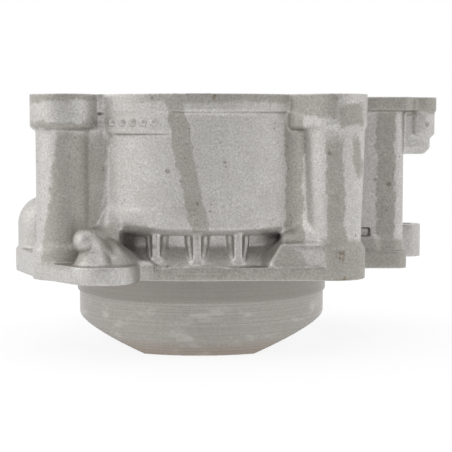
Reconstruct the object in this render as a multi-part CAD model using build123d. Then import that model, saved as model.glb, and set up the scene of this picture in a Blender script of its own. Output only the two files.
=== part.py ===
from build123d import *
import os

# Engine cylinder: one die-cast and machined aluminium casting of a liquid-cooled
# single-cylinder engine. The plated bore, the coolant jacket, four stud columns, the
# cam-chain tunnel, the coolant inlet and the spigot skirt are all one piece of metal.
# Millimetres. The origin is on the bore axis at the base gasket face. +Z runs up the
# bore to the head, -Y is the exhaust side and +X is the side of the chain tunnel.

# Bore, barrel and skirt
bore_r = 47.5
barrel_wall = 5.0
skirt_wall = 4.0
skirt_depth = 30.5
skirt_flat_half = 21.5
skirt_slope_drop = 19.2
skirt_slope_round = 5.0
register_proud = 0.9
register_depth = 9.7
ring_lead = 1.5
ring_lead_depth = 3.0

# Heights above the base face
deck_z = 70.0
deck_plate = 6.9
cap_depth = 13.4
jacket_foot_z = 17.0
channel_floor = 5.2
base_plate = 5.0
base_boss_z = 11.4
shoulder_rise = 3.9

# Coolant jacket
channel_gap = 7.5
jacket_wall = 4.5
foot_bevel = 2.4
recess_depth = 8.5
corner_recess_depth = 3.2
base_slope_rise = 7.2
deck_lip = 1.2
blend_r = 3.0

# Studs, columns and their caps
stud_pitch = 102.0
stud_hole_r = 5.5
column_r = 11.2
taper_foot_r = 10.6
taper_head_r = 12.6
cap_r = 13.3
cap_bevel = 1.2
base_boss_r = 12.8
dowel_r = 7.0
dowel_depth = 8.0
wide_cap_step = 10.0
wide_cap_r = 8.5
plinth_front_x = 24.6
plinth_rear_x = 8.0
plinth_slope = 6.2
plinth_z = 14.2
toe_x = 41.5
toe_y = -52.0
toe_foot_r = 10.0
toe_head_r = 3.0
toe_z = 23.5

# Cam-chain tunnel
tunnel_outer_x = 83.4
tunnel_front_y = -18.5
tunnel_rear_y = 38.0
tunnel_wall = 4.5
tunnel_corner = 5.0
tunnel_core_corner = 3.0
tunnel_core_x = 58.0
tunnel_lip = 1.4
tunnel_land = 0.8
tunnel_deck_plate = 5.6
tunnel_base_plate = 7.4
tunnel_deck_reach = 4.6
tunnel_deck_corner = 6.0
ledge_x = 75.5
ledge_proud = 1.1
ledge_z = 13.6
notch_x = 69.5
notch_depth = 2.2
notch_rise = 3.0

# Small bolts beside the tunnel
bolt_boss_r = 6.4
bolt_step = 7.2
plate_lip = 0.6
bolt_hole_r = 3.25
thread_r = 2.5
thread_depth = 18.0
head_bolt_inset = 10.5
head_boss_depth = 15.2
head_boss_tail = 8.1
head_boss_narrow = 1.9
head_boss_bevel = 2.4
head_web_r = 6.0
haunch_drop = 2.6
haunch_half = 5.2
base_bolt_step = 7.9
base_bolt_inset = 2.0
base_boss_depth = 14.5

# Chain tensioner mount on the rear of the tunnel
tensioner_x = 72.0
tensioner_z = 42.0
tensioner_stand = 6.0
tensioner_root = 3.0
tensioner_bore_r = 6.0
tensioner_pad_r = 9.0
tensioner_bolt_pitch = 32.0
tensioner_ear_r = 6.0
tensioner_thread_depth = 9.0

# Coolant inlet: a dome on a pad of the base flange, fed from below
inlet_x = -62.2
inlet_y = -22.0
inlet_r = 11.8
inlet_z = 18.6
inlet_bore_r = 6.5
inlet_seat_r = 8.0
inlet_seat_depth = 12.0
inlet_gate_r = 5.0
inlet_gate_tilt = 50.0
inlet_pad_r = 12.8
inlet_pad_z = 9.2

# Front of the casting: gussets, die-insert pad, bare plate, corner lug and its knob
gusset_pitch = 15.5
gusset_count = 3
gusset_first_x = -16.0
gusset_front_r = 62.6
gusset_front_w = 2.9
gusset_rear_w = 6.4
plate_left = -36.6
plate_right = -10.4
plate_low = 55.0
plate_proud = 1.0
pad_left = -31.0
pad_right = -0.8
pad_high = 26.6
lug_x = -35.4
lug_reach = 79.5
lug_r = 13.2
lug_t = 6.6
mound_x = -33.2
mound_y = -58.0
mound_foot_r = 13.8
mound_neck_r = 3.6
mound_z = 13.9
rib_foot_x = -35.4
rib_foot_w = 13.0
rib_foot_depth = 13.0
rib_head_x = -32.0
rib_head_y = -54.6
rib_head_w = 4.0
rib_z = 24.6
knob_x = -41.2
knob_y = -70.0
knob_r = 5.0
knob_z = 15.7
arm_x = -34.0
arm_y = -63.5
arm_z = 7.5
knob_foot_x = -38.8
knob_foot_y = -68.5
knob_foot_r = 8.0
knob_waist_r = 4.4
knob_waist_z = 12.7

# Clearances: how far a tool runs out of the metal, how far one piece reaches into the
# next, and the small step that keeps two outlines apart
overrun = 2.0
root = 1.0
seam = 0.4

# Sizes that follow from the ones above
half_pitch = stud_pitch / 2
barrel_r = bore_r + barrel_wall
skirt_r = bore_r + skirt_wall
register_r = skirt_r + register_proud
channel_r = barrel_r + channel_gap
jacket_r = channel_r + jacket_wall
recess_r = jacket_r - recess_depth
flange_reach = half_pitch + base_boss_r
channel_floor_z = jacket_foot_z + channel_floor
deck_r = jacket_r + deck_lip
deck_plate_z = deck_z - deck_plate
cap_z = deck_z - cap_depth
head_bolt_x = tunnel_outer_x + bolt_step
head_bolts = [
    (head_bolt_x, tunnel_front_y + head_bolt_inset),
    (head_bolt_x, tunnel_rear_y - head_bolt_inset),
]
base_bolt = (tunnel_outer_x + base_bolt_step, tunnel_rear_y - base_bolt_inset)
stud_places = [(sx * half_pitch, sy * half_pitch) for sx in (-1, 1) for sy in (-1, 1)]
far = 2 * tunnel_outer_x


def disc(x, y, r):
    return Pos(x, y) * Circle(r)


def window(x0, x1, y0, y1, corner):
    """A rounded rectangle by its two corners."""
    sheet = RectangleRounded(x1 - x0, y1 - y0, corner)
    return Pos((x0 + x1) / 2, (y0 + y1) / 2) * sheet


def hull(*shapes):
    """The outline that a taut string round all the shapes would take."""
    return make_hull([edge for shape in shapes for edge in shape.edges()])


def blended(outline, r):
    """The outline with its inside corners rounded."""
    return offset(offset(outline, r), -r)


def slab(outline, low, high):
    """The outline as a plate between two heights."""
    return extrude(Pos(0, 0, low) * outline, high - low)


def between(x0, x1, y0, y1, z0, z1):
    """A block by its two corners."""
    box = Box(x1 - x0, y1 - y0, z1 - z0, align=(Align.MIN,) * 3)
    return Pos(x0, y0, z0) * box


def rod(x, y, r, low, high):
    """An upright round bar between two heights."""
    return Pos(x, y, low) * Cylinder(r, high - low, align=(Align.CENTER, Align.CENTER, Align.MIN))


def frustum(x, y, low_r, high_r, low, high):
    """An upright tapered bar between two heights."""
    bar = Cone(low_r, high_r, high - low, align=(Align.CENTER, Align.CENTER, Align.MIN))
    return Pos(x, y, low) * bar


def domed(r, height):
    """A round bar along +Z from the origin, its domed end centred at the height."""
    side = make_face(
        [
            RadiusArc((r, height), (0, height + r), -r),
            Polyline((0, height + r), (0, 0), (r, 0), (r, height)),
        ]
    )
    return revolve(Plane.XZ * side, Axis.Z)


def along_y(outline, front, rear):
    """An outline drawn as seen from the front, x and z, carried from front to rear."""
    return extrude(Plane.XZ.offset(-rear) * outline, rear - front)


def lower_edges(solid):
    return solid.edges().group_by(Axis.Z)[0]


def tunnel_outline(lip=0.0):
    return window(
        0, tunnel_outer_x + lip, tunnel_front_y - lip, tunnel_rear_y + lip, tunnel_corner
    )


def skirt():
    """The spigot below the base face, its two sides sloped to clear the crank webs."""
    wall = rod(0, 0, skirt_r, -skirt_depth, 0)
    register = rod(0, 0, register_r, -register_depth, 0)
    corner = (register_r, -skirt_slope_drop)
    flat = (skirt_flat_half, -skirt_depth)
    right = Line((register_r, 0), corner)
    slope = Line(corner, flat)
    floor = Line(flat, (0, -skirt_depth))
    middle = Line((0, -skirt_depth), (0, 0))
    top = Line((0, 0), (register_r, 0))
    half = make_face([right, slope, floor, middle, top])
    turned = half.vertices().sort_by_distance(corner)[0]
    half = fillet(turned, skirt_slope_round)
    front = half + mirror(half, Plane.YZ)
    return (wall + register) & along_y(front, -far, far)


def block():
    """The cast block from deck to base: jacket wall, columns and tunnel, blended together."""
    outline = Circle(jacket_r) + tunnel_outline()
    for x, y in stud_places:
        outline += disc(x, y, taper_foot_r - seam if x > 0 else column_r)
    return slab(blended(outline, blend_r), 0, deck_z)


def undercut():
    """What is open under the jacket, between the columns, back to the barrel's ring."""
    slope_z = base_plate + base_slope_rise
    rim = Polyline(
        (jacket_r + far, base_plate / 2), (flange_reach, base_plate / 2),
        (flange_reach, base_plate), (recess_r, slope_z),
        (recess_r, jacket_foot_z), (jacket_r - foot_bevel, jacket_foot_z),
        (jacket_r, jacket_foot_z + foot_bevel), (jacket_r + far, jacket_foot_z + foot_bevel),
        close=True,
    )
    ring = revolve(Plane.XZ * make_face(rim), Axis.Z)
    keep = slab(tunnel_outline(tunnel_lip / 2), 0, deck_z)
    keep += [rod(x, y, column_r + seam, 0, deck_z) for x, y in stud_places]
    corner = rod(0, 0, jacket_r - corner_recess_depth, 0, deck_z)
    keep += corner & between(-far, pad_left, -far, 0, 0, deck_z)
    return ring - keep


def tapered_columns():
    """The two columns beside the tunnel, which widen towards their caps."""
    return [
        frustum(x, y, taper_foot_r, taper_head_r, root, cap_z + root)
        for x, y in stud_places
        if x > 0
    ]


def feet():
    """The bosses at the feet of the columns, each with a sloped shoulder."""
    made = []
    for x, y in stud_places:
        made.append(rod(x, y, base_boss_r, 0, base_boss_z))
        top = base_boss_z + shoulder_rise
        made.append(frustum(x, y, base_boss_r, taper_foot_r, base_boss_z, top))
    return made


def plinth():
    """The foot of the front column on the tunnel's side, carried towards the bore."""
    front = root - flange_reach
    low = Polyline(
        (plinth_front_x, front), (half_pitch, front), (half_pitch, -bore_r),
        (plinth_rear_x, -bore_r), close=True,
    )
    left = plinth_front_x + plinth_slope
    high = Polyline(
        (left, front), (half_pitch, front), (half_pitch, -bore_r), (left, -bore_r), close=True
    )
    sheets = [Pos(0, 0, z) * make_face(line) for line, z in ((low, root), (high, plinth_z))]
    toe = frustum(toe_x, toe_y, toe_foot_r, toe_head_r, plinth_z - root, toe_z)
    return [loft(sheets, ruled=True), toe]


def caps():
    """The heads of the columns. Those beside the tunnel are widened to the jacket."""
    made = []
    for x, y in stud_places:
        outline = disc(x, y, cap_r)
        if x > 0:
            outline = hull(outline, disc(x - wide_cap_step, y, wide_cap_r))
        cap = slab(outline, cap_z, deck_z)
        made.append(chamfer(lower_edges(cap), cap_bevel))
    return made


def deck():
    """The plate at the head joint, with the thinner part that closes round the tunnel."""
    ring = Circle(deck_r) + [disc(x, y, cap_r - seam) for x, y in stud_places]
    plate = slab(blended(ring, blend_r), deck_plate_z, deck_z)
    side = window(
        0, tunnel_outer_x + tunnel_deck_reach, tunnel_front_y - tunnel_lip,
        tunnel_rear_y + tunnel_lip, tunnel_deck_corner,
    )
    side += [disc(x, y, bolt_boss_r + plate_lip) for x, y in head_bolts]
    side = slab(blended(side, tunnel_core_corner), deck_z - tunnel_deck_plate, deck_z)
    return [plate, side]


def head_bosses():
    """The two small bolt bosses outside the tunnel, drawn in below and webbed to it."""
    made = []
    mid_z = deck_z - head_boss_depth
    low_z = mid_z - head_boss_tail
    waist_r = bolt_boss_r - head_boss_narrow
    wall_x = tunnel_outer_x - tunnel_wall
    for x, y in head_bolts:
        boss = rod(x, y, bolt_boss_r, mid_z, deck_z)
        boss += frustum(x, y, waist_r - seam, bolt_boss_r, mid_z - head_boss_narrow, mid_z)
        web = slab(hull(disc(x, y, waist_r), disc(wall_x, y, head_web_r)), low_z, deck_z - root)
        made.append(boss + chamfer(lower_edges(web), head_boss_bevel))
        haunch = Polyline(
            (wall_x, deck_z - root), (x, deck_z - root), (x, deck_plate_z),
            (tunnel_outer_x + root, deck_plate_z - haunch_drop),
            (tunnel_outer_x + root, mid_z), (wall_x, mid_z), close=True,
        )
        made.append(along_y(make_face(haunch), y - haunch_half, y + haunch_half))
    return made


def base():
    """The crankcase flange with the tunnel's foot, the ledge beside it and its bolt lug."""
    square = hull(*[disc(x, y, base_boss_r - seam) for x, y in stud_places])
    foot = tunnel_outline(tunnel_lip)
    ledge = window(0, ledge_x, tunnel_front_y - ledge_proud, 0, tunnel_corner)
    x, y = base_bolt
    ear_r = bolt_boss_r + plate_lip
    lug = hull(disc(x, y, ear_r), disc(x - 2 * ear_r, y, ear_r))
    return [
        slab(square, 0, base_plate),
        slab(foot, 0, tunnel_base_plate),
        slab(ledge, 0, ledge_z),
        slab(lug, 0, base_boss_depth),
    ]


def inlet():
    """The coolant inlet: a domed boss beside the jacket on its own part of the flange."""
    dome = Pos(inlet_x, inlet_y, root) * domed(inlet_r, inlet_z - root)
    pad = hull(
        disc(inlet_x, inlet_y, inlet_pad_r),
        disc(-half_pitch, -half_pitch, column_r),
        disc(-half_pitch, 2 * inlet_y + half_pitch, column_r),
    )
    return [slab(pad, 0, inlet_pad_z), dome]


def gussets():
    """The ribs that split the undercut below the front of the jacket into pockets."""
    made = []
    top = jacket_foot_z + foot_bevel / 2
    for i in range(gusset_count):
        x = gusset_first_x + i * gusset_pitch
        front = -((gusset_front_r**2 - x**2) ** 0.5)
        rear = front + recess_depth
        rib = Polyline(
            (x - gusset_front_w / 2, front), (x + gusset_front_w / 2, front),
            (x + gusset_rear_w / 2, rear), (x - gusset_rear_w / 2, rear), close=True,
        )
        made.append(slab(make_face(rib), root, top))
    return made


def front_marks():
    """The raised die-insert pad low on the front and the bare plate under the deck."""
    front = -deck_r - plate_proud
    pad = rod(0, 0, jacket_r + seam, jacket_foot_z + foot_bevel + seam, pad_high)
    pad &= between(pad_left, pad_right, front, -half_pitch, 0, deck_z)
    plate = rod(0, 0, jacket_r + plate_proud, plate_low, deck_plate_z)
    plate &= between(plate_left, plate_right, front, -half_pitch, 0, deck_z)
    return [pad, plate]


def corner_lug():
    """The round lug low on the front left corner, tied to the jacket by a mound and a rib."""
    y = -lug_reach + lug_r
    outline = hull(disc(lug_x, y, lug_r), disc(-half_pitch, -half_pitch, column_r))
    plate = slab(outline, 0, lug_t)
    mound = frustum(mound_x, mound_y, mound_foot_r, mound_neck_r, lug_t - seam, mound_z)
    rib = loft(
        [
            Pos(rib_foot_x, mound_y, lug_t - root) * Rectangle(rib_foot_w, rib_foot_depth),
            Pos(rib_head_x, rib_head_y, rib_z) * Rectangle(rib_head_w, rib_head_w),
        ]
    )
    return [plate, mound, rib]


def knob():
    """The round-nosed arm that leans out of the mound to the left, with its flared foot."""
    foot = frustum(
        knob_foot_x, knob_foot_y, knob_foot_r, knob_waist_r, lug_t - root, knob_waist_z
    )
    lean = Vector(knob_x - arm_x, knob_y - arm_y, knob_z - arm_z)
    arm = Plane(origin=(arm_x, arm_y, arm_z), z_dir=lean) * domed(knob_r, lean.length)
    return [foot, arm]


def tensioner_mount():
    """The flat pad on the tunnel's rear wall that the chain tensioner bolts to."""
    ears = [
        disc(tensioner_x, tensioner_z + s * tensioner_bolt_pitch / 2, tensioner_ear_r)
        for s in (-1, 1)
    ]
    outline = hull(disc(tensioner_x, tensioner_z, tensioner_pad_r), *ears)
    return along_y(
        outline, tunnel_rear_y - tensioner_root, tunnel_rear_y + tensioner_stand
    )


def machining():
    """Everything the tools take away: bore, jacket core, tunnel, studs and bolts."""
    over = deck_z + overrun
    low_z = -skirt_depth
    cuts = [rod(0, 0, bore_r, low_z - overrun, over)]
    cuts.append(frustum(0, 0, bore_r + ring_lead, bore_r, low_z, low_z + ring_lead_depth))
    channel = rod(0, 0, channel_r, channel_floor_z, over)
    cuts.append(channel - rod(0, 0, barrel_r, 0, over))
    core = window(
        tunnel_core_x,
        tunnel_outer_x - tunnel_wall,
        tunnel_front_y + tunnel_wall,
        tunnel_rear_y - tunnel_wall,
        tunnel_core_corner,
    )
    land = rod(0, 0, jacket_r + tunnel_land, -2 * overrun, over + overrun)
    cuts.append(slab(core, -overrun, over) - land)
    cuts.append(
        between(
            channel_r, notch_x, tunnel_front_y - overrun, tunnel_front_y + notch_depth,
            ledge_z - seam, ledge_z + notch_rise,
        )
    )
    for x, y in stud_places:
        cuts.append(rod(x, y, stud_hole_r, -overrun, over))
        if x * y < 0:
            cuts.append(rod(x, y, dowel_r, -overrun, dowel_depth))
            cuts.append(rod(x, y, dowel_r, deck_z - dowel_depth, over))
    for x, y in head_bolts:
        cuts.append(rod(x, y, thread_r, deck_z - thread_depth, over))
    cuts.append(rod(*base_bolt, bolt_hole_r, -overrun, base_boss_depth + overrun))
    return cuts


def ports():
    """The coolant port in the base face and the tensioner bore, with its screw holes."""
    port = rod(inlet_x, inlet_y, inlet_bore_r, -overrun, inlet_z + inlet_gate_r)
    towards_bore = Plane(origin=(inlet_x, inlet_y, inlet_z), x_dir=(-inlet_x, -inlet_y, 0))
    gate = Cylinder(
        inlet_gate_r, recess_depth + jacket_wall, align=(Align.CENTER, Align.CENTER, Align.MIN)
    )
    port += towards_bore * Rot(0, inlet_gate_tilt, 0) * gate
    cuts = [port, rod(inlet_x, inlet_y, inlet_seat_r, -overrun, inlet_seat_depth)]
    face_y = tunnel_rear_y + tensioner_stand
    bore = disc(tensioner_x, tensioner_z, tensioner_bore_r)
    cuts.append(along_y(bore, tunnel_rear_y - tunnel_wall - overrun, face_y + overrun))
    for s in (-1, 1):
        screw = disc(tensioner_x, tensioner_z + s * tensioner_bolt_pitch / 2, thread_r)
        cuts.append(along_y(screw, face_y - tensioner_thread_depth, face_y + overrun))
    return cuts


def cylinder():
    body = block() - undercut()
    cast = tapered_columns() + feet() + caps() + head_bosses() + deck() + base()
    cast += inlet() + gussets() + front_marks() + corner_lug() + knob()
    for piece in cast + plinth() + [tensioner_mount(), skirt()]:
        body += piece
    for tool in machining() + ports():
        body -= tool
    return body


os.makedirs("parts", exist_ok=True)
export_step(cylinder(), "parts/cylinder.step")
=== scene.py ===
import math

import bpy
import numpy as np
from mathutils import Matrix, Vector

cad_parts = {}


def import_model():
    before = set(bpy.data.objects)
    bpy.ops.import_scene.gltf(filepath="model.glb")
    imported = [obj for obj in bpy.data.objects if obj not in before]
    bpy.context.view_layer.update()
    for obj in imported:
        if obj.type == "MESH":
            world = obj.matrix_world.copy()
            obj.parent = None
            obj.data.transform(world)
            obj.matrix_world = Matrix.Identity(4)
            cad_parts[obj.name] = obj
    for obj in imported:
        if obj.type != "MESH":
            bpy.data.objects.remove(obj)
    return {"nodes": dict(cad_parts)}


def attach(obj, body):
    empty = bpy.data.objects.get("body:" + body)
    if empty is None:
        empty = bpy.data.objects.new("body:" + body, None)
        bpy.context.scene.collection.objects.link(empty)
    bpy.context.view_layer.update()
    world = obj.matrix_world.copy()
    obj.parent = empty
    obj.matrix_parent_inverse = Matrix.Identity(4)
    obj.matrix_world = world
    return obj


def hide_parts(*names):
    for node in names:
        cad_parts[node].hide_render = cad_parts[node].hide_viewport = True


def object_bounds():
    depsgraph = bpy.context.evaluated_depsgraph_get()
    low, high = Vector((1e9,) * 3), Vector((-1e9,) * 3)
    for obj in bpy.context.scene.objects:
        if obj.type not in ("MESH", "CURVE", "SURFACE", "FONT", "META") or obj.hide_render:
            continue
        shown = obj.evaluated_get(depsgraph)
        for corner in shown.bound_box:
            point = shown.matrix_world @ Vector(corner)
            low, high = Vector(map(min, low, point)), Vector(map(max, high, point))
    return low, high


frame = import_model()
cad_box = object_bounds()

MM = 0.001

# The photograph: 452 px square, eye level a little under the deck, front of the bore axis
IMAGE_PX = 452
FOCAL_PX = 1252
EYE_PX = 132.4
CAMERA_X = 10.4 * MM
CAMERA_Y = -530 * MM
CAMERA_Z = 55.6 * MM
SENSOR_MM = 36.0

# Sizes of the casting that its finishes follow, in mm
DECK_Z = 70.0
BORE_R = 47.5
REGISTER_R = 52.4
REGISTER_LOW_Z = -9.7
JACKET_R = 64.5
TENSIONER_FACE_Y = 44.0
TENSIONER_LEFT_X = 58.0
GUSSETS_X = (-16.0, -0.5, 15.0)
GUSSET_R = 62.6
FLANGE_FRONT_Y = -63.4
PLATE_R = 65.7
PIPS_X = (-32.5, -28.5, -24.5, -20.5, -16.5)
PIPS_Z = 59.2
INSERT_Z = (21.0, 26.3)
VALLEY_Z = (14, 62)
GUSSET_FLASH_Z = (5.2, 18.0)
FLANGE_FLASH_Z = (3.4, 5.6)

# Width and height of the fine ridges on the skin, in mm
GUSSET_FLASH = (0.55, 0.5)
FLANGE_FLASH = (0.5, 0.4)
INSERT_SIDE = (0.45, 0.42)
INSERT_TOP = (0.4, 0.4)
PIP_HALF = (1.5, 0.7, 1.5)

# The finishes, and how far from a machined face a point still counts as on it, in mm
SKIN, MILLED, TURNED, HONED = range(4)
FACE_DEPTH = 0.3
BORE_DEPTH = 0.4
REGISTER_GAP = 1.0

# Waves in the edges of stains and of the patches of painted shade and, smaller, of drop spots
STAIN_AND_SHADE_WAVER_MM = 6.5
SPOT_SHARE = 0.23

# The point that the arcs on the milled faces run round, in mm
MILL_CENTRE = (-50, -160)

# How the casting's copy is made: TRIANGLES is before the fine ridges are joined to it
CUTS_PER_FACET = 4
VOXEL_MM = 0.5
MACHINED_PASSES = 2
SKIN_PASSES = 4
HOLLOW_PASSES = 55
TRIANGLES = 176000
SMOOTH_ANGLE = 40

# Hollows and feet that a die leaves very soft: lowest and highest corner in mm
SOFT_CORNERS = (
    ((24, -68, 6.2), (47, -42, 34)),
    ((29, -62, 16), (42, -44, 55)),
    ((-42, -62, 16), (-31, -44, 55)),
    ((-36, -68, 6.2), (-19, -50, 22)),
    ((-29, -68, 0.8), (-12, -59, 9)),
)

# Fillets of the die, in mm. Lumps: middle and half sizes. Bars: both ends and their radii
LUMPS = (
    ((-37.8, -57.2, 13.6), (6.4, 6.0, 6.2)),
    ((-33.6, -62.6, 9.4), (5.8, 4.2, 6.4)),
    ((-21.0, -62.0, 4.6), (5.6, 2.6, 3.8)),
    ((34.8, -55.2, 12.6), (4.6, 4.6, 6.2)),
)
BARS = (
    ((-34.8, -61.5, 7), (-33.4, -55.4, 22.0), 2.4, 1.6),
    ((-37.4, -55.4, 16.5), (-33.2, -54.4, 26.5), 2.8, 1.8),
)
VALLEY_BARS = ((36.8, -52.4, 2.6), (40.2, -53.6, 2.7))

FLOOR_Z = cad_box[0][2]
FLOOR_SIZE = 6.0

# The tent's strength behind the object, and what its open front and lit side change
TENT = 1.0
OPEN_FRONT = -0.68
LIT_SIDE = 0.5
FLOOR_LIFT = 1.05
FLOOR_LIFT_SHARE = 0.82


def linear(code):
    """An sRGB hex colour as linear red, green, blue and alpha."""
    values = [int(code[i:i + 2], 16) / 255 for i in (0, 2, 4)]
    return [v / 12.92 if v <= 0.04045 else ((v + 0.055) / 1.055) ** 2.4 for v in values] + [1.0]


def add_node(tree, kind, inputs=None, **settings):
    """Adds a node and gives its first output. An input is a number, hex colour or socket."""
    node = tree.nodes.new("ShaderNode" + kind)
    for name, value in settings.items():
        setattr(node, name, value)
    if isinstance(inputs, list):
        inputs = dict(enumerate(inputs))
    for name, value in (inputs or {}).items():
        if isinstance(value, bpy.types.NodeSocket):
            tree.links.new(value, node.inputs[name])
        elif isinstance(value, str):
            node.inputs[name].default_value = linear(value)
        else:
            node.inputs[name].default_value = value
    made = [socket for socket in node.outputs if socket.enabled]
    return made[0] if made else None


def new_material(name):
    """An empty material, its node tree and the place of each point on the object."""
    material = bpy.data.materials.new(name)
    material.use_nodes = True
    tree = material.node_tree
    tree.nodes.clear()
    place = add_node(tree, "TexCoord").node.outputs["Object"]
    return material, tree, place


def camera():
    data = bpy.data.cameras.new("camera")
    data.sensor_width = SENSOR_MM
    data.lens = FOCAL_PX / IMAGE_PX * SENSOR_MM
    data.clip_start = 0.01
    pitch = math.atan((IMAGE_PX / 2 - EYE_PX) / FOCAL_PX)
    made = bpy.data.objects.new("camera", data)
    made.location = (CAMERA_X, CAMERA_Y, CAMERA_Z)
    made.rotation_euler = (math.pi / 2 - pitch, 0, 0)
    bpy.context.collection.objects.link(made)
    bpy.context.scene.camera = made


def world():
    """A light tent: white behind the object, strong on the left, open where the camera is."""
    made = bpy.data.worlds.new("studio")
    made.use_nodes = True
    tree = made.node_tree
    tree.nodes.clear()
    rays = add_node(tree, "LightPath").node.outputs
    around = add_node(tree, "TexCoord").node.outputs["Generated"]
    x, y, _ = add_node(tree, "SeparateXYZ", [around]).node.outputs
    opening = add_node(
        tree, "MapRange",
        {"Value": y, "From Min": -0.55, "From Max": -0.98, "To Max": OPEN_FRONT},
        interpolation_type="SMOOTHSTEP",
    )
    lit_side = add_node(
        tree, "MapRange",
        {"Value": x, "From Min": -0.15, "From Max": -0.8, "To Max": LIT_SIDE},
        interpolation_type="SMOOTHSTEP",
    )
    strength = add_node(tree, "Math", [opening, lit_side], operation="ADD")
    strength = add_node(tree, "Math", [strength, TENT], operation="ADD")
    tent = add_node(tree, "Background", {"Color": "FFFFFF", "Strength": strength})
    white = add_node(tree, "Background", {"Color": "FFFFFF", "Strength": 1.0})
    behind = add_node(tree, "Math", [y, 0.3], operation="GREATER_THAN")
    mirrored = add_node(tree, "Math", [rays["Is Glossy Ray"], behind], operation="MULTIPLY")
    shown = add_node(
        tree, "Math", [rays["Is Camera Ray"], rays["Is Transmission Ray"]], operation="MAXIMUM"
    )
    shown = add_node(tree, "Math", [shown, mirrored], operation="MAXIMUM")
    mix = add_node(tree, "MixShader", [shown, tent, white])
    add_node(tree, "OutputWorld", {"Surface": mix})
    bpy.context.scene.world = made


def floor():
    """White paper, lifted to white for the eye and still darker where the object stands."""
    bpy.ops.mesh.primitive_plane_add(size=FLOOR_SIZE, location=(0, 0, FLOOR_Z))
    made = bpy.context.object
    made.name = "floor"
    material, tree, _ = new_material("white_paper")
    rays = add_node(tree, "LightPath").node.outputs
    paper = add_node(tree, "BsdfDiffuse", {"Color": "EDEDED"})
    lift = add_node(tree, "Emission", {"Color": "FFFFFF", "Strength": FLOOR_LIFT})
    shown = add_node(
        tree, "Math", [rays["Is Camera Ray"], rays["Is Glossy Ray"]], operation="MAXIMUM"
    )
    share = add_node(tree, "Math", [shown, FLOOR_LIFT_SHARE], operation="MULTIPLY")
    mix = add_node(tree, "MixShader", [share, paper, lift])
    add_node(tree, "OutputMaterial", {"Surface": mix})
    made.data.materials.append(material)


def patch(tree, place, middle, half, lean, edge, shape):
    """How far a point is inside a patch of the skin, 0 to 1. Sizes in mm, lean in degrees."""
    inside = add_node(
        tree, "Mapping",
        {
            "Vector": place, "Location": [v * MM for v in middle],
            "Rotation": (0, math.radians(lean), 0), "Scale": [v * MM for v in half],
        },
        vector_type="TEXTURE",
    )
    if shape == "box":
        inside = add_node(tree, "VectorMath", [inside], operation="ABSOLUTE")
        x, y, z = add_node(tree, "SeparateXYZ", [inside]).node.outputs
        reach = add_node(tree, "Math", [x, y], operation="MAXIMUM")
        reach = add_node(tree, "Math", [reach, z], operation="MAXIMUM")
    else:
        reach = add_node(tree, "VectorMath", [inside], operation="LENGTH")
    return add_node(
        tree, "MapRange", {"Value": reach, "From Min": 1 + edge, "From Max": 1 - edge},
        interpolation_type="SMOOTHSTEP",
    )


# Dark dried stains on the skin, and patches of painted shade in its valley and creases and on the
# shaded sides of its columns: middle, half sizes, lean in degrees, edge and shape
STAINS_AND_SHADE = (
    # Painted shade over the shaded middle and right of the left column, with a dried stain
    ((-46.5, -56, 30), (9.5, 18, 25), 8, 0.08, "box"),
    ((-50.8, -56, 58.4), (12.5, 18, 1.2), 2, 0.4, "box"),
    ((-50.8, -56, 69.2), (13, 18, 2.0), -2, 0.3, "box"),
    ((-4.3, -60, 43.5), (3.4, 14, 27), -11.7, 0.12, "box"),
    ((10, -60, 69.6), (33, 20, 2.8), 0, 0.30, "box"),
    ((43, -60, 66.8), (9, 20, 4.6), 8, 0.15, "box"),
    # Painted shade in the valley between the jacket and the right column, with a dried water stain
    ((36.3, -52, 38), (3.3, 12, 25), 0, 0.10, "box"),
    # Painted shade down the front of the right column, between its lit flanks
    ((51.4, -56, 33), (3.4, 14, 20), -3, 0.15, "box"),
    ((59.5, -52, 47), (2.4, 14, 9), -6, 0.2, "round"),
    ((57, -56, 62), (5, 18, 4.2), -8, 0.2, "box"),
    ((75.6, -22, 40), (3.8, 30, 29), 0, 0.10, "box"),
    ((80, -22, 68.4), (19, 30, 5.0), 0, 0.15, "box"),
    ((75, -22, 5), (14, 30, 7), 0, 0.15, "box"),
    ((22, -62, 1.8), (44, 8, 3.8), 0, 0.2, "box"),
    ((56, -58, 9), (9, 14, 6), 0, 0.2, "box"),
    # Painted shade in the hollow at the foot of the right column
    ((33, -64, 9), (8, 10, 4), 20, 0.2, "round"),
    # Painted shade in the crease between the knob and the rib beside it
    ((-34, -60, 15), (5, 12, 6), 0, 0.3, "round"),
    ((40, 62, 38), (3.4, 14, 26), 7, 0.2, "box"),
    ((-18, 64, 40), (4.6, 14, 30), -10, 0.15, "box"),
    ((-60, 26, 44), (14, 4.4, 30), 0, 0.2, "box"),
)

# Rust and burnt dirt: middle and half sizes
RUST = (
    ((-32, -66, 0.6), (4.5, 8, 2.6)),
    ((6.3, -64, 68.6), (1.3, 4, 1.6)),
    ((50.9, -60, 68.8), (1.6, 4, 2.0)),
    ((53.3, -62, 9.6), (1.5, 5, 1.9)),
    ((61.2, -54, 57.0), (1.0, 5, 1.3)),
    ((74.5, -40, 3.5), (2.2, 8, 2.8)),
    ((54, -62, 0.4), (3.0, 8, 1.2)),
    ((-48, 62, 1.5), (5, 8, 2.5)),
    ((30, 62, 67.5), (3, 8, 2)),
)


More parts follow.
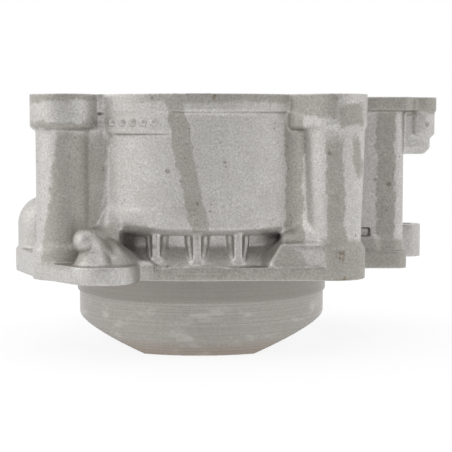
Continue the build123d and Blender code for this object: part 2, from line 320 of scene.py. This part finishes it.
def cast_skin():
    """Die-cast aluminium, shot-blasted: light grey, grainy, with a soft sheen, old stains and
    painted shade in its creases and on the shaded sides of its columns.
    """
    material, tree, place = new_material("cast_aluminium")
    # Shot leaves dimples about 0.3 mm wide, drawn at 0.7 mm so that they show
    grain = add_node(
        tree, "TexNoise",
        {"Vector": place, "Scale": 1 / (0.7 * MM), "Detail": 2.0, "Roughness": 0.7},
    )
    cloud = add_node(
        tree, "TexNoise", {"Vector": place, "Scale": 1 / (9 * MM), "Detail": 4.0, "Roughness": 0.6}
    )
    # Stains and the patches of painted shade have wavy edges: their place is pushed about by 1 to
    # 2 mm
    waver = add_node(
        tree, "TexNoise",
        {"Vector": place, "Scale": 1 / (6 * MM), "Detail": 6.0, "Roughness": 0.65},
    ).node.outputs["Color"]
    push = add_node(tree, "VectorMath", [waver, (0.5, 0.5, 0.5)], operation="SUBTRACT")
    push = add_node(tree, "VectorMath", [push, [STAIN_AND_SHADE_WAVER_MM * MM] * 3], operation="MULTIPLY")
    pushed = add_node(tree, "VectorMath", [place, push], operation="ADD")

    fine = add_node(tree, "MapRange", {"Value": grain, "From Min": 0.3, "From Max": 0.7})
    dry = add_node(tree, "Mix", {0: fine, 6: "B2AFAB", 7: "DDDBD8"}, data_type="RGBA")
    clouds = add_node(
        tree, "MapRange", {"Value": cloud, "From Min": 0.35, "From Max": 0.65, "To Max": 0.35}
    )
    colour = add_node(tree, "Mix", {0: clouds, 6: dry, 7: "B0ADA7"}, data_type="RGBA")

    # The stains and the patches of painted shade darken the skin together here
    stain_and_shade = 0.0
    for middle, half, lean, edge, shape in STAINS_AND_SHADE:
        here = patch(tree, pushed, middle, half, lean, edge, shape)
        stain_and_shade = add_node(tree, "Math", [here, stain_and_shade], operation="MAXIMUM")
    darker = add_node(tree, "MixRGB", {0: 1.0, 1: colour, 2: "DBD9D5"}, blend_type="MULTIPLY")
    stain_and_shade_share = add_node(tree, "Math", [stain_and_shade, 0.9], operation="MULTIPLY")
    colour = add_node(tree, "Mix", {0: stain_and_shade_share, 6: colour, 7: darker}, data_type="RGBA")

    # Dark spots up to 2 mm wide where drops dried, in two places out of five
    small_push = add_node(tree, "VectorMath", [push, [SPOT_SHARE] * 3], operation="MULTIPLY")
    small_pushed = add_node(tree, "VectorMath", [place, small_push], operation="ADD")
    spot_gap = add_node(tree, "TexVoronoi", {"Vector": small_pushed, "Scale": 1 / (5.5 * MM)})
    chance = add_node(tree, "SeparateColor", [spot_gap.node.outputs["Color"]])
    size = add_node(
        tree, "MapRange", {"Value": chance, "From Min": 0.6, "From Max": 1.0, "To Max": 0.2}
    )
    gap = add_node(tree, "Math", [spot_gap, size], operation="SUBTRACT")
    spots = add_node(tree, "MapRange", {"Value": gap, "From Min": 0.02, "From Max": -0.03})
    spots = add_node(tree, "Math", [spots, 0.7], operation="MULTIPLY")
    dark = add_node(tree, "MixRGB", {0: 1.0, 1: colour, 2: "BDB9B4"}, blend_type="MULTIPLY")
    colour = add_node(tree, "Mix", {0: spots, 6: colour, 7: dark}, data_type="RGBA")

    # Pores that the blasting opened, about 0.3 mm wide, drawn at 0.6 mm so that they show
    pore_gap = add_node(tree, "TexVoronoi", {"Vector": place, "Scale": 1 / (3.2 * MM)})
    pore_colour = pore_gap.node.outputs["Color"]
    pore_chance = add_node(tree, "SeparateColor", [pore_colour]).node.outputs[1]
    some = add_node(tree, "Math", [pore_chance, 0.8], operation="GREATER_THAN")
    pore = add_node(tree, "MapRange", {"Value": pore_gap, "From Min": 0.14, "From Max": 0.06})
    pore = add_node(tree, "Math", [pore, some], operation="MULTIPLY")
    pore = add_node(tree, "Math", [pore, 0.6], operation="MULTIPLY")
    colour = add_node(tree, "Mix", {0: pore, 6: colour, 7: "6E6A65"}, data_type="RGBA")

    rust = 0.0
    for middle, half in RUST:
        here = patch(tree, pushed, middle, half, 0.0, 0.5, "round")
        rust = add_node(tree, "Math", [here, rust], operation="MAXIMUM")
    speckle = add_node(tree, "TexNoise", {"Vector": place, "Scale": 1 / (1.1 * MM), "Detail": 3.0})
    speckle = add_node(tree, "MapRange", {"Value": speckle, "From Min": 0.42, "From Max": 0.6})
    rust = add_node(tree, "Math", [rust, speckle], operation="MULTIPLY")
    rust = add_node(tree, "Math", [rust, 0.8], operation="MULTIPLY")
    colour = add_node(tree, "Mix", {0: rust, 6: colour, 7: "7A664C"}, data_type="RGBA")

    rough = add_node(tree, "MapRange", {"Value": stain_and_shade, "To Min": 0.40, "To Max": 0.50})
    bump = add_node(tree, "Bump", {"Strength": 0.5, "Distance": 0.07 * MM, "Height": grain})
    bsdf = add_node(
        tree, "BsdfPrincipled",
        {"Base Color": colour, "Metallic": 0.8, "Roughness": rough, "Normal": bump},
    )
    add_node(tree, "OutputMaterial", {"Surface": bsdf})
    return material


def milled_face():
    """Milled joint faces: bright, with the wide shallow arcs that a face mill leaves."""
    material, tree, place = new_material("milled_aluminium")
    # The cutter moves on 0.2 mm a turn; arcs are drawn 0.8 mm apart so that they show
    shift = (-MILL_CENTRE[0] * MM, -MILL_CENTRE[1] * MM, 0)
    centre = add_node(
        tree, "Mapping", {"Vector": place, "Location": shift, "Scale": (1, 1, 0)}
    )
    reach = add_node(tree, "VectorMath", [centre], operation="LENGTH")
    lines = add_node(
        tree, "TexNoise", {"W": reach, "Scale": 1 / (0.8 * MM), "Detail": 2.0},
        noise_dimensions="1D",
    )
    cloud = add_node(tree, "TexNoise", {"Vector": place, "Scale": 1 / (14 * MM), "Detail": 4.0})
    tone = add_node(tree, "Math", [lines, cloud], operation="MULTIPLY")
    tone = add_node(tree, "MapRange", {"Value": tone, "From Min": 0.12, "From Max": 0.4})
    colour = add_node(tree, "Mix", {0: tone, 6: "B7B5B2", 7: "CFCDCA"}, data_type="RGBA")
    bump = add_node(tree, "Bump", {"Strength": 0.3, "Distance": 0.02 * MM, "Height": lines})
    bsdf = add_node(
        tree, "BsdfPrincipled",
        {"Base Color": colour, "Metallic": 1.0, "Roughness": 0.33, "Normal": bump},
    )
    add_node(tree, "OutputMaterial", {"Surface": bsdf})
    return material


def turned_skirt():
    """The turned skirt: dull grey rings, lighter patches low down that are partly dried water
    marks and partly painted light, and brown oil varnish low down.
    """
    material, tree, place = new_material("turned_aluminium")
    z = add_node(tree, "SeparateXYZ", [place]).node.outputs[2]
    # The tool moves on 0.15 mm a turn; the rings are drawn 0.5 mm apart so that they show
    rings = add_node(
        tree, "TexNoise", {"W": z, "Scale": 1 / (0.5 * MM), "Detail": 1.0},
        noise_dimensions="1D",
    )
    grain = add_node(
        tree, "TexNoise",
        {"Vector": place, "Scale": 1 / (0.8 * MM), "Detail": 2.0, "Roughness": 0.7},
    )
    tone = add_node(tree, "Math", [rings, grain], operation="ADD")
    tone = add_node(tree, "MapRange", {"Value": tone, "From Min": 0.7, "From Max": 1.3})
    colour = add_node(tree, "Mix", {0: tone, 6: "9B9791", 7: "B1ADA8"}, data_type="RGBA")
    # Lighter cloudy patches below the register: painted light on the skirt, with dried water marks
    flat_cloud = add_node(tree, "Mapping", {"Vector": place, "Scale": (1, 1, 2.6)})
    marks_and_painted_light = add_node(
        tree, "TexNoise",
        {"Vector": flat_cloud, "Scale": 1 / (11 * MM), "Detail": 5.0, "Roughness": 0.6},
    )
    marks_and_painted_light = add_node(
        tree, "MapRange", {"Value": marks_and_painted_light, "From Min": 0.54, "From Max": 0.66, "To Max": 0.5}
    )
    low = add_node(
        tree, "MapRange",
        {"Value": z, "From Min": (REGISTER_LOW_Z - 1) * MM,
         "From Max": (REGISTER_LOW_Z - 3) * MM},
    )
    marks_and_painted_light = add_node(tree, "Math", [marks_and_painted_light, low], operation="MULTIPLY")
    colour = add_node(tree, "Mix", {0: marks_and_painted_light, 6: colour, 7: "C9C6C1"}, data_type="RGBA")
    register = add_node(
        tree, "MapRange",
        {"Value": z, "From Min": (REGISTER_LOW_Z - 0.1) * MM,
         "From Max": (REGISTER_LOW_Z + 0.1) * MM, "To Max": 0.55},
    )
    colour = add_node(tree, "Mix", {0: register, 6: colour, 7: "85807A"}, data_type="RGBA")
    varnish = add_node(
        tree, "MapRange",
        {"Value": z, "From Min": -24 * MM, "From Max": -31 * MM, "To Max": 0.55},
    )
    colour = add_node(tree, "Mix", {0: varnish, 6: colour, 7: "94816F"}, data_type="RGBA")
    bump = add_node(tree, "Bump", {"Strength": 0.4, "Distance": 0.03 * MM, "Height": tone})
    bsdf = add_node(
        tree, "BsdfPrincipled",
        {"Base Color": colour, "Metallic": 0.85, "Roughness": 0.34, "Normal": bump},
    )
    add_node(tree, "OutputMaterial", {"Surface": bsdf})
    return material


def honed_bore():
    """The plated bore: grey and satin, with the crossed scratches that honing leaves."""
    material, tree, place = new_material("honed_plating")
    x, y, z = add_node(tree, "SeparateXYZ", [place]).node.outputs
    turn = add_node(tree, "Math", [y, x], operation="ARCTAN2")
    round_the_bore = add_node(tree, "Math", [turn, BORE_R * MM], operation="MULTIPLY")
    # Honing grit cuts lines 0.05 mm apart, drawn 0.7 mm apart so that they show
    crossed = []
    for slope in (-0.6, 0.6):
        rise = add_node(tree, "Math", [z, slope], operation="MULTIPLY")
        along = add_node(tree, "Math", [round_the_bore, rise], operation="ADD")
        crossed.append(add_node(
            tree, "TexNoise", {"W": along, "Scale": 1 / (0.7 * MM), "Detail": 2.0},
            noise_dimensions="1D",
        ))
    height = add_node(tree, "Math", crossed, operation="ADD")
    tone = add_node(tree, "MapRange", {"Value": height, "From Min": 0.7, "From Max": 1.3})
    colour = add_node(tree, "Mix", {0: tone, 6: "7F7E7B", 7: "A09F9B"}, data_type="RGBA")
    bump = add_node(tree, "Bump", {"Strength": 0.3, "Distance": 0.02 * MM, "Height": height})
    bsdf = add_node(
        tree, "BsdfPrincipled",
        {"Base Color": colour, "Metallic": 1.0, "Roughness": 0.28, "Normal": bump},
    )
    add_node(tree, "OutputMaterial", {"Surface": bsdf})
    return material


def only(*pieces):
    """Makes these objects the selected ones and the first of them the active one."""
    bpy.ops.object.select_all(action="DESELECT")
    for piece in pieces:
        piece.select_set(True)
    bpy.context.view_layer.objects.active = pieces[0]


def finished(piece, kind, **settings):
    """Adds a modifier with these settings and applies it."""
    only(piece)
    modifier = piece.modifiers.new("step", kind)
    for name, value in settings.items():
        setattr(modifier, name, value)
    bpy.ops.object.modifier_apply(modifier=modifier.name)


def rows_of(data, name, width, kind=np.float64):
    """One property of every element of a mesh as rows of numbers."""
    rows = np.zeros(len(data) * width, kind)
    data.foreach_get(name, rows)
    return rows.reshape(-1, width)


def finer_mesh(source, steps):
    """The mesh with each facet cut finer and bowed out to the curve that its normals tell."""
    source.calc_loop_triangles()
    triangles = source.loop_triangles
    points = rows_of(source.vertices, "co", 3)
    normals = rows_of(source.corner_normals, "vector", 3)
    corners = points[rows_of(triangles, "vertices", 3, np.int32)]
    facing = normals[rows_of(triangles, "loops", 3, np.int32)]
    grid = [(i, j) for i in range(steps + 1) for j in range(steps + 1 - i)]
    index = {row: n for n, row in enumerate(grid)}
    weights = np.array([((steps - i - j) / steps, i / steps, j / steps) for i, j in grid])
    flat = np.einsum("kc,tcx->tkx", weights, corners)
    bow = np.zeros_like(flat)
    for c in range(3):
        height = np.einsum("tkx,tx->tk", flat - corners[:, None, c], facing[:, c])
        bow -= (weights[None, :, c] * height)[..., None] * facing[:, None, c]
    small = [
        (index[i, j], index[i + 1, j], index[i, j + 1]) for i, j in grid if i + j < steps
    ]
    small += [
        (index[i + 1, j], index[i + 1, j + 1], index[i, j + 1])
        for i, j in grid
        if i + j < steps - 1
    ]
    offsets = np.arange(len(triangles)) * len(grid)
    faces = (np.array(small)[None] + offsets[:, None, None]).reshape(-1, 3)
    made = bpy.data.meshes.new("casting")
    made.from_pydata((flat + bow / 2).reshape(-1, 3), [], faces)
    return made


def swelling(middle, half):
    """A rounded lump of metal: its middle and half sizes in mm."""
    bpy.ops.mesh.primitive_uv_sphere_add(
        segments=48, ring_count=24, radius=MM, location=[v * MM for v in middle], scale=half
    )
    return bpy.context.object


def bar(start, end, start_r, end_r):
    """A tapered round bar between two points of the casting."""
    low, high = np.array(start) * MM, np.array(end) * MM
    along = high - low
    length = float(np.linalg.norm(along))
    bpy.ops.mesh.primitive_cone_add(
        vertices=32, radius1=start_r * MM, radius2=end_r * MM, depth=length,
        location=(low + high) / 2,
        rotation=(0, math.acos(along[2] / length), math.atan2(along[1], along[0])),
    )
    return bpy.context.object


def soft_metal():
    """The fillets of the die that fill the casting's narrow corners."""
    made = [swelling(*lump) for lump in LUMPS] + [bar(*row) for row in BARS]
    for side in (-1, 1):
        for x, y, r in VALLEY_BARS:
            made.append(bar((side * x, y, VALLEY_Z[0]), (side * x, y, VALLEY_Z[1]), r, r))
    for x in GUSSETS_X:
        front = -math.sqrt(GUSSET_R ** 2 - x ** 2)
        for side in (-1, 1):
            foot = (x + side * 1.7, front + 0.9, 6.4)
            root = (x + side * 2.8, front + 5.8, 13.2)
            made.append(bar(foot, root, 1.0, 1.5))
            made.append(bar(root, (root[0], root[1], 20.0), 1.5, 1.8))
    return made


def ridge(start, end, wide, proud):
    """A thin rounded ridge of metal between two points, standing proud towards the front."""
    low, high = np.array(start) * MM, np.array(end) * MM
    bpy.ops.mesh.primitive_cube_add(size=1, location=(low + high) / 2)
    made = bpy.context.object
    span = high - low
    made.rotation_euler = (0, math.atan2(span[0], span[2]), 0)
    made.scale = (wide * MM, 2 * proud * MM, float(np.linalg.norm(span)))
    bpy.ops.object.transform_apply(location=False, rotation=True, scale=True)
    bpy.ops.object.mode_set(mode="EDIT")
    bpy.ops.mesh.select_all(action="SELECT")
    bpy.ops.mesh.bevel(offset=0.35 * wide * MM, segments=2)
    bpy.ops.object.mode_set(mode="OBJECT")
    return made


def die_marks():
    """Flash where the die's parts met, the edge of its insert, and plain pips on the plate."""
    made = []
    for x in GUSSETS_X:
        front = -math.sqrt(GUSSET_R ** 2 - x ** 2)
        for y, heights, size in (
            (front, GUSSET_FLASH_Z, GUSSET_FLASH), (FLANGE_FRONT_Y, FLANGE_FLASH_Z, FLANGE_FLASH)
        ):
            made.append(ridge((x, y, heights[0]), (x, y, heights[1]), *size))
    for x in GUSSETS_X[:2]:
        wall = -math.sqrt(JACKET_R ** 2 - x ** 2)
        made.append(ridge((x, wall, INSERT_Z[0]), (x, wall, INSERT_Z[1]), *INSERT_SIDE))
    steps = np.linspace(GUSSETS_X[0], GUSSETS_X[1], 9)
    for left, right in zip(steps[:-1], steps[1:]):
        wall = -math.sqrt(JACKET_R ** 2 - ((left + right) / 2) ** 2)
        start, end = (left - 0.1, wall, INSERT_Z[1]), (right + 0.1, wall, INSERT_Z[1])
        made.append(ridge(start, end, *INSERT_TOP))
    for x in PIPS_X:
        wall = -math.sqrt(PLATE_R ** 2 - x ** 2)
        made.append(swelling((x, wall, PIPS_Z), PIP_HALF))
    return made


def finish_at(points):
    """Which finish the surface has at each of these points, in mm."""
    x, y, z = points.T
    r = np.hypot(x, y)
    by_skirt = r < REGISTER_R + REGISTER_GAP
    deck = z > DECK_Z - FACE_DEPTH
    base = (np.abs(z) < FACE_DEPTH) & (r > REGISTER_R + REGISTER_GAP)
    tensioner = (np.abs(y - TENSIONER_FACE_Y) < FACE_DEPTH) & (x > TENSIONER_LEFT_X)
    finish = np.where(deck | base | tensioner, MILLED, SKIN)
    finish[(z < FACE_DEPTH) & by_skirt] = TURNED
    finish[r < BORE_R + BORE_DEPTH] = HONED
    return finish.astype(np.int32)


def casting(node):
    """The whole casting again, with the rounded edges and soft corners of a cast part."""
    made = bpy.data.objects.new("casting", finer_mesh(node.data, CUTS_PER_FACET))
    bpy.context.collection.objects.link(made)
    only(made)
    bpy.ops.object.mode_set(mode="EDIT")
    bpy.ops.mesh.select_all(action="SELECT")
    bpy.ops.mesh.remove_doubles(threshold=MM / 1000)
    bpy.ops.object.mode_set(mode="OBJECT")
    only(made, *soft_metal())
    bpy.ops.object.join()
    finished(made, "REMESH", mode="VOXEL", voxel_size=VOXEL_MM * MM)
    points = rows_of(made.data.vertices, "co", 3) / MM
    machined = finish_at(points) != SKIN
    skin = made.vertex_groups.new(name="skin")
    skin.add(np.nonzero(~machined)[0].tolist(), 1.0, "REPLACE")
    soft = np.zeros(len(points), bool)
    for low, high in SOFT_CORNERS:
        soft |= np.all((points > low) & (points < high), axis=1)
    hollows = made.vertex_groups.new(name="hollows")
    hollows.add(np.nonzero(soft & ~machined)[0].tolist(), 1.0, "REPLACE")
    finished(made, "SMOOTH", factor=0.5, iterations=MACHINED_PASSES)
    finished(made, "SMOOTH", factor=0.5, iterations=HOLLOW_PASSES, vertex_group="hollows")
    finished(made, "SMOOTH", factor=0.5, iterations=SKIN_PASSES, vertex_group="skin")
    finished(made, "DECIMATE", ratio=TRIANGLES / (2 * len(made.data.polygons)))
    made.vertex_groups.clear()
    only(made, *die_marks())
    bpy.ops.object.join()
    return made


def finish_faces(made):
    """Gives each face of the casting the finish of its place."""
    mesh = made.data
    mesh.materials.clear()
    for finish in (cast_skin(), milled_face(), turned_skirt(), honed_bore()):
        mesh.materials.append(finish)
    centres = rows_of(mesh.polygons, "center", 3) / MM
    mesh.polygons.foreach_set("material_index", finish_at(centres))


bpy.context.scene.view_settings.view_transform = "Standard"
camera()
world()
floor()
body = casting(frame["nodes"]["cylinder"])
finish_faces(body)
only(body)
bpy.ops.object.shade_smooth_by_angle(angle=math.radians(SMOOTH_ANGLE))
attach(body, "root")
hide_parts("cylinder")
